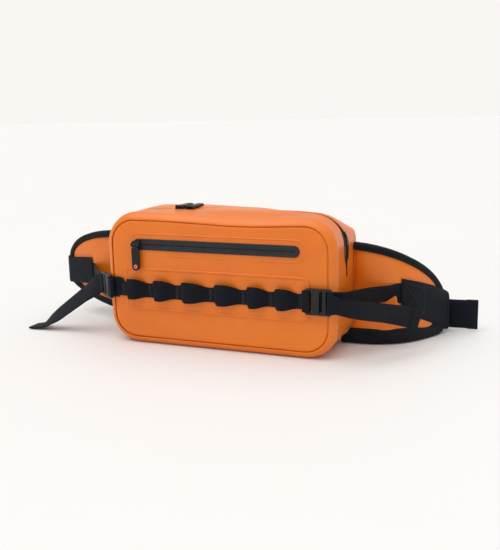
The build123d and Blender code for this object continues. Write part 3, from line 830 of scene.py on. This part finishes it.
def compression_straps(walls):
    """Straps from the wings to the locks."""
    for side, plan, z_end, lean, start, end in (
        ("right", RIGHT_STRAP_PLAN, 65, -0.75, (0.150, -0.030, 0.070), (0.196, 0.030, 0.063)),
        ("left", LEFT_STRAP_PLAN, 67, -0.2, (-0.172, -0.030, 0.070), (-0.226, 0.032, 0.067)),
    ):
        path = plan_path(plan, CHAIN_Z, z_end)[2:-4]
        wall = walls[side]
        under = wall_s_at_x(wall, abs(plan[-1][0]) + 3) + np.array((0.0, 4.0, 8.0))
        sewn = wall.at(under, FACE_H - 0.7, z_end)
        path = np.concatenate([from_lock(side, [(1.2, 0.4)]), path, sewn])
        path = relaxed(resample(path, 110), 6)
        along = lengths_along(path)
        tilt = lean * smooth(8, 34, along) * smooth(along[-1] - 10, along[-1] - 34, along)
        across = unit(np.column_stack((0 * tilt, tilt, np.ones_like(tilt))))
        strap(f"compression_strap_{side}_webbing", path, across, WEBBING, STRAP,
              TAPE_BLACK, "webbing", blend=("bag", f"wing_{side}", start, end),
              stands_for=(f"compression_strap_{side}",))


def right_tail():
    """Free end of the right strap: over the lock's outer bar, down along the wing."""
    tail = plan_path(RIGHT_TAIL_PLAN, CHAIN_Z, 35, sag=1.7)
    clear = tail[:, 0] > RIGHT_LOCK_PLACE[0] + 15
    path = np.concatenate([from_lock("right", OVER_BAR), tail[clear]])
    path = relaxed(resample(path, 150), 5)
    along = lengths_along(path)
    hem = smooth(along[-1] - 14.5, along[-1] - 13, along)
    lean = -0.5 * smooth(5, 20, along) * smooth(along[-1] - 20, along[-1] - 60, along)
    across = np.column_stack((0 * lean, lean, np.ones_like(lean)))
    strap("strap_tail_right_webbing", path, unit(across), WEBBING - 0.6 + 0.6 * hem,
          STRAP * (1 + hem), TAPE_BLACK, "webbing", body="lock_right",
          stands_for=("strap_tail_right",))


def left_tail():
    """Free end of the left strap: it falls to the floor and turns flat there."""
    start = from_lock("left", OVER_BAR + ((13.5, 4.4), (18, 4.4)))
    places = np.array([*start, *[place for place, _ in LEFT_TAIL_STATIONS]], float)
    facings = [(0, 0, 1)] * len(start) + [across for _, across in LEFT_TAIL_STATIONS]
    facings = unit(np.array(facings, float))
    knots = lengths_along(places)
    even = np.linspace(0, knots[-1], 150)
    path = np.stack([np.interp(even, knots, axis) for axis in places.T], axis=1)
    across = np.stack([np.interp(even, knots, axis) for axis in facings.T], axis=1)
    path[10:] = relaxed(path[10:], 14)
    across = unit(relaxed(across, 40))
    hem = smooth(knots[-1] - 13.5, knots[-1] - 12, even)
    strap("strap_tail_left_webbing", path, across, WEBBING - 0.6 + 1.2 * hem,
          STRAP * (1 + hem), TAPE_BLACK, "webbing", body="lock_left",
          stands_for=("strap_tail_left",))


# ---- wings and belt

class Wall:
    """Upright curved wall: s runs along its plan curve, h off it and z up."""

    def __init__(self, control, end=1.0):
        self.points = bezier(control, np.linspace(0, end, 321))
        self.s = lengths_along(self.points)
        self.length = self.s[-1]
        step = unit(np.gradient(self.points, axis=0))
        side = 1 if control[0][0] < control[3][0] else -1
        self.step = step
        self.normal = np.column_stack((-step[:, 1], step[:, 0])) * side

    def pick(self, table, s):
        return np.stack([np.interp(s, self.s, axis) for axis in table.T], axis=-1)

    def at(self, s, h, z):
        """Places on the wall; past either end it runs straight on."""
        s, h, z = np.broadcast_arrays(np.asarray(s, float), h, z)
        over = s - np.clip(s, 0, self.length)
        plan = self.pick(self.points, s) + self.pick(self.step, s) * over[..., None]
        plan = plan + self.pick(self.normal, s) * h[..., None]
        return np.concatenate([plan, z[..., None]], axis=-1)

    def facing(self, s):
        """Way out of the wall on its front side."""
        out = -self.pick(self.normal, s)
        return np.concatenate([out, np.zeros(out.shape[:-1] + (1,))], axis=-1)


def height_at(curve, x):
    """Height of an outline curve at X."""
    points = bezier(curve, np.linspace(0, 1, 200))
    order = np.argsort(points[:, 0])
    return np.interp(x, points[order, 0], points[order, 1])


def side_at(z):
    """X of the bag's rounded side at a height, measured from its flat side."""
    low = np.clip(OUTLINE_RADIUS - np.asarray(z, float), 0, OUTLINE_RADIUS)
    return np.sqrt(OUTLINE_RADIUS**2 - low**2) - OUTLINE_RADIUS


def room_under(s):
    """Height free under the bag's lower corner beside the wing root."""
    inward = np.clip(-(np.asarray(s, float) - WING_ROOT_S), 0, OUTLINE_RADIUS)
    return OUTLINE_RADIUS - np.sqrt(OUTLINE_RADIUS**2 - (OUTLINE_RADIUS - inward) ** 2)


def wing_limits(wall, top, bottom, s):
    """Lower and upper edge of a wing at s."""
    x = wall.at(s, FACE_H, 0)[..., 0]
    return height_at(bottom, x), height_at(top, x)


def wing_outline(wall, top, bottom, count=260):
    """Edge of a wing as (s, z): along the bottom, up the tip and back on top."""
    low_root = WING_ROOT_LOW_S if bottom is RIGHT_BOTTOM else WING_ROOT_S
    s_low = np.linspace(low_root, wall.length, 170)
    s_top = np.linspace(WING_ROOT_S, wall.length, 160)
    lower = wing_limits(wall, top, bottom, s_low)[0]
    upper = wing_limits(wall, top, bottom, s_top)[1]
    loop = np.concatenate([np.column_stack((s_low, lower)),
                           np.column_stack((s_top, upper))[::-1]])
    loop = resample(loop, 700)
    loop = relaxed(loop, 420)
    return resample(loop, count)


def wing(side):
    """Padded wing: orange face, mesh back and the black edge tape round it."""
    right = side == "right"
    wall = Wall(RIGHT_PLAN, RIGHT_TIP) if right else Wall(LEFT_PLAN)
    top, bottom = (RIGHT_TOP, RIGHT_BOTTOM) if right else (LEFT_TOP, LEFT_BOTTOM)
    wing_pad(side, wall, top, bottom)
    wing_edge(side, wall, top, bottom)
    return wall


def wing_pad(side, wall, top, bottom):
    """Crowned pad inside the edge tape; a runs along the wing and b up it."""
    columns, rows = 96, 44
    a = np.linspace(0, 1, columns)[:, None]
    b = np.linspace(0, 1, rows)[None, :]
    root_low, root_top = wing_limits(wall, top, bottom, np.array(0.0))
    root_z = root_low + PAD_INSET + (root_top - root_low - 2 * PAD_INSET) * b
    root = WING_ROOT_S + side_at(root_z)
    s = root + (wall.length - PAD_INSET - root) * a
    lower, upper = wing_limits(wall, top, bottom, s)
    z = lower + PAD_INSET + (upper - lower - 2 * PAD_INSET) * b
    rise = (1 - np.abs(2 * b - 1) ** 5) ** 0.5 * (1 - np.abs(2 * a - 1) ** 12) ** 0.5
    puff = 2.6 * (1 - (2 * b - 1) ** 2) * smooth(0.0, 0.35, a) * smooth(1.0, 0.75, a)
    patch_mask = belt_press(side, wall, s, z)
    folds = 0.5 * np.sin(s / 9 + z / 14) * np.sin(z / 19 + 1.1) * rise
    front = -(0.6 + 4.3 * rise + puff * (1 - 0.85 * patch_mask)) + folds * (1 - patch_mask)
    back = 0.6 + 3.9 * rise + 1.4 * (1 - (2 * b - 1) ** 2) * rise
    front_verts = wall.at(s, front, z).reshape(-1, 3)
    back_verts = wall.at(s, back, z).reshape(-1, 3)
    verts = np.concatenate([front_verts, back_verts])
    front_faces = grid_faces(columns, rows)
    offset = columns * rows
    back_faces = [tuple(v + offset for v in face[::-1]) for face in front_faces]
    border = [k * rows for k in range(columns)]
    border += [(columns - 1) * rows + k for k in range(1, rows)]
    border += [k * rows + rows - 1 for k in range(columns - 2, -1, -1)]
    border += [k for k in range(rows - 2, 0, -1)]
    rim = [(v, v + offset, w + offset, w) for v, w in zip(border, border[1:] + border[:1])]
    flat = np.column_stack((s.ravel(), z.ravel()))
    pad = build(f"wing_pad_{side}", verts, front_faces + back_faces + rim, ORANGE,
                "tpu_orange", body=f"wing_{side}", uv=np.concatenate([flat, flat]),
                stands_for=(f"wing_face_{side}", f"wing_foam_{side}", f"wing_mesh_{side}"))
    pad.data.materials.append(MESH_BLACK)
    for index in range(len(front_faces), len(front_faces) + len(back_faces)):
        pad.data.polygons[index].material_index = 1


def wing_edge(side, wall, top, bottom):
    """Black tape folded over the wing's edge, and its row of stitches."""
    loop = wing_outline(wall, top, bottom)
    step = unit(np.gradient(loop, axis=0))
    inward = np.column_stack((-step[:, 1], step[:, 0]))
    along = lengths_along(loop)
    bottom_end = int(np.argmax(loop[:, 0]))
    band = np.full(len(loop), float(BINDING))
    if side == "right":
        on_bottom = smooth(bottom_end, bottom_end - 30, np.arange(len(loop)))
        band += (RIGHT_LOWER_BAND - BINDING) * on_bottom
        band = np.minimum(band, np.maximum(room_under(loop[:, 0]) - 1, 3))
    rows_3d, uv = [], []
    for share, h, extra in EDGE_SECTION:
        inset = band * share + extra
        place = loop + inward * inset[:, None]
        rows_3d.append(wall.at(place[:, 0], h, place[:, 1]))
        uv.append(np.column_stack((along, inset + (20 if h > 0 else 0))))
    for inset, h in ((BINDING - 0.5, 5.6), (BINDING, 4.6)):
        place = loop + inward * inset
        rows_3d.append(wall.at(place[:, 0], h, place[:, 1]))
        uv.append(np.column_stack((along, np.full(len(loop), 20 + inset))))
    verts = np.stack(rows_3d, axis=1).reshape(-1, 3)
    count = len(rows_3d)
    faces = grid_faces(len(loop), count, wrap=True)
    faces.append(tuple(range(count)))
    faces.append(tuple((len(loop) - 1) * count + k for k in range(count - 1, -1, -1)))
    build(f"wing_edge_{side}", verts, faces, EDGE_BLACK, "edge_binding",
          body=f"wing_{side}", uv=np.stack(uv, axis=1).reshape(-1, 2),
          stands_for=(f"wing_binding_{side}",))
    sewn = loop + inward * (band - 1.7)[:, None]
    line = wall.at(sewn[:, 0], -6.0, sewn[:, 1])
    stitches(f"wing_edge_stitches_{side}", [(line, wall.facing(wall.length / 2))],
             f"wing_{side}", pitch=3.4, length=2.4, radius=0.24)


def belt_press(side, wall, s, z):
    """1 where the belt patch presses into the wing, falling to 0 beside it."""
    if side == "right":
        near = wall.at(s, FACE_H, 0)[..., 0]
        middle = right_patch_height(near)
        start = wall_s_at_x(wall, RIGHT_PATCH_X)
    else:
        middle = left_patch_height(wall, s)
        start = wall.length * LEFT_PATCH_START
    across = smooth(BELT / 2 + 9, BELT / 2 - 1, np.abs(z - middle))
    return across * smooth(start - 9, start + 1, s)


def wall_s_at_x(wall, x):
    """Length along a wall where its face reaches X."""
    s = np.linspace(0, wall.length, 300)
    xs = np.abs(wall.at(s, FACE_H, 0)[:, 0])
    return float(np.interp(abs(x), xs, s))


def right_patch_height(x):
    """Middle height of the right belt patch as it runs down the wing."""
    return (height_at(RIGHT_BELT_TOP, x) + height_at(RIGHT_BELT_BOTTOM, x)) / 2


def left_patch_height(wall, s):
    """Middle height of the left belt patch, a little lower at the wing's tip."""
    return LEFT_BELT_Z + 4 * smooth(wall.length, wall.length * 0.55, s)


def box_cross(wall, s_range, z_middle, height, h):
    """Sewing lines of a box with a cross in it, on a wall."""
    s0, s1 = s_range
    half = height / 2
    corners = [(s0, -half), (s1, -half), (s1, half), (s0, half)]
    ends = list(zip(corners, corners[1:] + corners[:1]))
    ends += [(corners[0], corners[2]), (corners[1], corners[3])]
    lines = []
    for (sa, za), (sb, zb) in ends:
        share = np.linspace(0, 1, 24)
        s = sa + (sb - sa) * share
        z = z_middle(s) + za + (zb - za) * share
        lines.append((wall.at(s, h, z), wall.facing((s0 + s1) / 2)))
    return lines


def belt_path(wall, s, z, turn, run, level_z):
    """Belt sewn on a wing, then round its tip and on behind the bag."""
    plan = np.concatenate([turn, run])
    level = np.column_stack((plan, np.broadcast_to(level_z, len(plan))))
    sewn = wall.at(s, PATCH_H, z)
    return relaxed(resample(np.concatenate([sewn, level]), 260), 14)


def belt_half(side, wall, path, width, box, middle, square):
    """Belt webbing along its path, and the box sewn through its patch."""
    strap(f"belt_{side}_webbing", path, (0, 0, 1), width, BELT_THICKNESS, BELT_BLACK,
          "belt_webbing", square=square, body=f"wing_{side}",
          stands_for=(f"belt_patch_{side}", f"belt_turn_{side}", f"belt_webbing_{side}"))
    lines = box_cross(wall, box, middle, BELT - 6, PATCH_H - BELT_THICKNESS / 2)
    stitches(f"belt_stitches_{side}", lines, f"wing_{side}", pitch=2.8, length=2.1, radius=0.3)


def right_belt(wall):
    """Right half: it slopes down the wing, and is level behind it."""
    def middle(s):
        return right_patch_height(wall.at(s, FACE_H, 0)[..., 0])

    start = wall_s_at_x(wall, RIGHT_PATCH_X)
    s = np.linspace(start, wall.length - 1, 60)
    path = belt_path(wall, s, middle(s), bezier(RIGHT_TURN_PLAN, np.linspace(0.2, 1, 30)),
                     bezier(RIGHT_RUN_PLAN, np.linspace(0.03, 1, 50)), BELT_MIDDLE_Z)
    on_wing = smooth(124, 109, path[:, 1])
    tall = height_at(RIGHT_BELT_TOP, path[:, 0]) - height_at(RIGHT_BELT_BOTTOM, path[:, 0])
    width = BELT + (tall - BELT) * on_wing
    lift = right_patch_height(path[:, 0]) - BELT_MIDDLE_Z
    path[:, 2] = BELT_MIDDLE_Z + lift * on_wing
    belt_half("right", wall, path, width, (start + 3, start + 33), middle, square=False)


def right_belt_tail():
    """Free end of the right belt, out from behind the wing with a folded hem."""
    plan = bezier(RIGHT_BELT_TAIL_PLAN, np.linspace(0, 1, 120))
    path = np.column_stack((plan, BELT_MIDDLE_Z + 2.5 * smooth(235, 290, plan[:, 0])))
    along = lengths_along(path)
    hem = smooth(along[-1] - 14.5, along[-1] - 13, along)
    strap("belt_tail_right_webbing", path, (0, 0, 1), BELT + 1.2 * hem,
          BELT_THICKNESS * (1 + 0.9 * hem), BELT_BLACK, "belt_webbing", body="wing_right",
          stands_for=("belt_tail_right", "belt_hem_right"))


def left_belt(wall):
    """Left half: level on the wing, and lower behind it towards the buckle."""
    def middle(s):
        return left_patch_height(wall, s)

    start = wall.length * LEFT_PATCH_START
    s = np.linspace(start, wall.length - 2, 50)
    turn = bezier(LEFT_TURN_PLAN, np.linspace(0.1, 1, 30))
    run = bezier(LEFT_RUN_PLAN, np.linspace(0.03, 1, 70))
    fall = LEFT_BELT_Z + (BELT_MIDDLE_Z + 4 - LEFT_BELT_Z) * smooth(-284, -204, run[:, 0])
    level = np.concatenate([np.full(len(turn), float(LEFT_BELT_Z)), fall])
    path = belt_path(wall, s, middle(s), turn, run, level)
    belt_half("left", wall, path, BELT, (start + 3, start + 30), middle, square=True)


def wing_anchors():
    """Sewn tape on the bag's sides that the wings fold from."""
    for side, sign in (("left", -1), ("right", 1)):
        low, high = node_box(f"wing_anchor_{side}")
        x = sign * (SIDE_X + 0.9)
        path = np.column_stack((np.full(60, x), np.full(60, (low[1] + high[1]) / 2),
                                np.linspace(low[2], high[2], 60)))
        strap(f"wing_anchor_{side}_tape", path, (0, 1, 0), high[1] - low[1], 1.4, ORANGE,
              "tpu_orange", body="bag", stands_for=(f"wing_anchor_{side}",))


# ---- padding

def cushion(name, low, high, radius, crown_axis, crown, paint, slot, fill, **rest):
    """Closed rounded pad between two corners, crowned along one axis."""
    low, high = np.array(low, float), np.array(high, float)
    middle, half = (low + high) / 2, (high - low) / 2
    steps = 18
    verts, faces, index = [], [], {}
    spread = np.sin(np.linspace(-1, 1, steps + 1) * pi / 2)
    for axis in range(3):
        for sign in (-1, 1):
            u_axis, v_axis = (axis + 1) % 3, (axis + 2) % 3
            ids = np.empty((steps + 1, steps + 1), int)
            for i, u in enumerate(spread):
                for j, v in enumerate(spread):
                    point = np.zeros(3)
                    point[axis], point[u_axis], point[v_axis] = sign, u, v
                    key = tuple(np.round(point, 5))
                    if key not in index:
                        index[key] = len(verts)
                        verts.append(point)
                    ids[i, j] = index[key]
            for i in range(steps):
                for j in range(steps):
                    quad = (ids[i, j], ids[i + 1, j], ids[i + 1, j + 1], ids[i, j + 1])
                    faces.append(quad if sign > 0 else quad[::-1])
    cube = np.array(verts)
    point = cube * half
    core = np.clip(point, -(half - radius), half - radius)
    offset = point - core
    size = np.linalg.norm(offset, axis=1, keepdims=True)
    point = core + np.where(size > 1e-6, offset / np.maximum(size, 1e-6) * radius, 0)
    others = [k for k in range(3) if k != crown_axis]
    swell = (1 - cube[:, others[0]] ** 2) * (1 - cube[:, others[1]] ** 2)
    point[:, crown_axis] += cube[:, crown_axis] * crown * swell
    point += middle
    uv = point[:, others]
    made = build(name, point, faces, paint, slot, uv=uv, **rest)
    return made


def back_pad():
    """Mesh back pad with sewn channels that let air through."""
    low, high = node_box("back_pad_mesh")
    half_width = (high[0] - low[0]) / 2
    half_height = (high[2] - low[2]) / 2
    middle = (low + high) / 2
    rings = []
    profile = [(0.6, 0.4), (0.0, 1.6), (0.1, 3.4), (0.7, 5.2), (2.0, 6.8), (4.0, 7.9)]
    profile += [(inset, 8.4 + 0.6 * smooth(6, 30, inset)) for inset in np.arange(6.5, 65, 2.2)]
    for inset, rise in profile:
        loop = rounded_ring(half_width - inset, half_height - inset, max(24 - inset, 1.2))
        y = low[1] + rise + 0 * loop[:, 0]
        if inset > 1:
            depth = smooth(1, 9, inset)
            for place in (-46, 46):
                y = y - 3.2 * depth * hill(loop[:, 0], place, 3.2)
            y = y - 2.6 * depth * hill(loop[:, 1], 0, 3.0)
        rings.append(np.column_stack((loop[:, 0], y, loop[:, 1] + middle[2])))
    count = len(rings[0])
    verts = np.concatenate(rings)
    faces = grid_faces(len(rings), count, wrap=True)
    faces.append(tuple(range((len(rings) - 1) * count, len(rings) * count)))
    faces.append(tuple(range(count - 1, -1, -1)))
    pad = build("back_pad_cover", verts, faces, MESH_BLACK, "spacer_mesh", body="bag",
                uv=verts[:, [0, 2]], stands_for=("back_pad_mesh", "back_pad_foam"))


def inside():
    """Dividers, base pad and the pocket's pouch."""
    for side in ("left", "right"):
        low, high = node_box(f"divider_{side}")
        cushion(f"divider_{side}_pad", low + (0.6, 0, 0), high - (0.6, 0, 0), 3.2, 0, 0.5,
                LINING, "liner_grey", 0.6, body=f"divider_{side}",
                stands_for=(f"divider_{side}",))
    cushion("base_pad_cover", (-118, -46, 2.8), (118, 41, 8.4), 2.7, 2, 0.6, LINING,
            "liner_grey", 0.5, body="bag", stands_for=("base_pad",))
    low, high = node_box("pocket_liner")
    ring = rounded_ring((high[0] - low[0]) / 2, (high[1] - low[1]) / 2, 2.5, 10, 3, 4)
    ring += (low[:2] + high[:2]) / 2
    levels = np.linspace(low[2], high[2], 14)
    corners = np.array([(x, y, z) for z in levels for x, y in ring])
    count = len(ring)
    faces = grid_faces(len(levels), count, wrap=True)
    faces.append(tuple(range(count - 1, -1, -1)))
    build("pocket_pouch", corners, faces, LINING, "liner_grey", body="bag",
          uv=corners[:, [0, 2]], stands_for=("pocket_liner",))


# ---- hard parts

def paint_cad():
    """Give the CAD parts that stay in view their materials."""
    paints = {"ladder_lock": PLASTIC, "buckle": PLASTIC, "zip_pull": RUBBER,
              "zip_slider": ZIP_METAL, "eyelet": METAL}
    for name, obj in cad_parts.items():
        for word, paint in paints.items():
            if word in name and not obj.hide_render:
                obj.data.materials.clear()
                obj.data.materials.append(paint)


# ---- set, light, camera

def studio():
    """Plain pale floor, soft light and the camera."""
    world = bpy.data.worlds.new("studio")
    world.use_nodes = True
    tree = world.node_tree
    split = tree.nodes.new("ShaderNodeSeparateXYZ")
    tree.links.new(coordinates(tree, "Generated"), split.inputs[0])
    sky = tree.nodes.new("ShaderNodeValToRGB")
    tree.links.new(split.outputs["Z"], sky.inputs["Fac"])
    stops = sky.color_ramp.elements
    stops[0].position, stops[0].color = 0.0, (*BACKDROP, 1)
    stops[1].position, stops[1].color = 1.0, (*grey(1.0), 1)
    for height, shade in ((0.22, BACKDROP), (0.36, grey(SKY_SIDE)), (0.62, grey(SKY_SIDE)),
                          (0.80, grey(SKY_TOP))):
        stop = stops.new(height)
        stop.color = (*shade, 1)
    stops[-1].color = (*grey(SKY_TOP), 1)
    tree.links.new(sky.outputs["Color"], tree.nodes["Background"].inputs["Color"])
    scene = bpy.context.scene
    scene.world = world
    scene.view_settings.view_transform = "Standard"

    mesh = bpy.data.meshes.new("floor")
    corners = [(x * FLOOR_REACH, y * FLOOR_REACH, 0)
               for x, y in ((-1, -1), (1, -1), (1, 1), (-1, 1))]
    mesh.from_pydata(corners, [], [(0, 1, 2, 3)])
    floor = bpy.data.objects.new("floor", mesh)
    floor.location.z = -FLOOR_DROP
    scene.collection.objects.link(floor)
    paint, tree, shader = start_material("floor_white", Roughness=0.6,
                                         Specular_IOR_Level=0.2)
    set_colour(tree, shader, noise(tree, coordinates(tree), 3.0), (0.80, 0.785, 0.77),
               (0.81, 0.795, 0.78))
    mesh.materials.append(paint)

    lamp = bpy.data.lights.new("key", "SUN")
    lamp.energy = KEY_SUN
    lamp.angle = radians(KEY_SPREAD)
    lamp.color = KEY_TINT
    holder = bpy.data.objects.new("key", lamp)
    holder.rotation_euler = Vector(KEY_DIRECTION).to_track_quat("Z", "Y").to_euler()
    scene.collection.objects.link(holder)

    camera = bpy.data.cameras.new("camera")
    camera.lens = LENS
    camera.clip_end = 200
    holder = bpy.data.objects.new("camera", camera)
    az, el, roll = radians(AZIMUTH), radians(ELEVATION), radians(ROLL)
    back = Vector((sin(az) * cos(el), -cos(az) * cos(el), sin(el)))
    right = Vector((cos(az), sin(az), 0))
    up = back.cross(right)
    turned_right = right * cos(roll) + up * sin(roll)
    turned_up = up * cos(roll) - right * sin(roll)
    matrix = Matrix((turned_right, turned_up, back)).transposed().to_4x4()
    matrix.translation = Vector(TARGET) * MM + back * DISTANCE * MM
    holder.matrix_world = matrix
    scene.collection.objects.link(holder)
    scene.camera = holder


# ---- the whole bag

front_gusset()
front_panel()
rear_skins()
main_zip()
pocket_zip()
patch()
daisy_chain()
anchor_loops()
walls = {side: wing(side) for side in ("left", "right")}
compression_straps(walls)
right_tail()
left_tail()
right_belt(walls["right"])
right_belt_tail()
left_belt(walls["left"])
wing_anchors()
back_pad()
inside()
paint_cad()
studio()
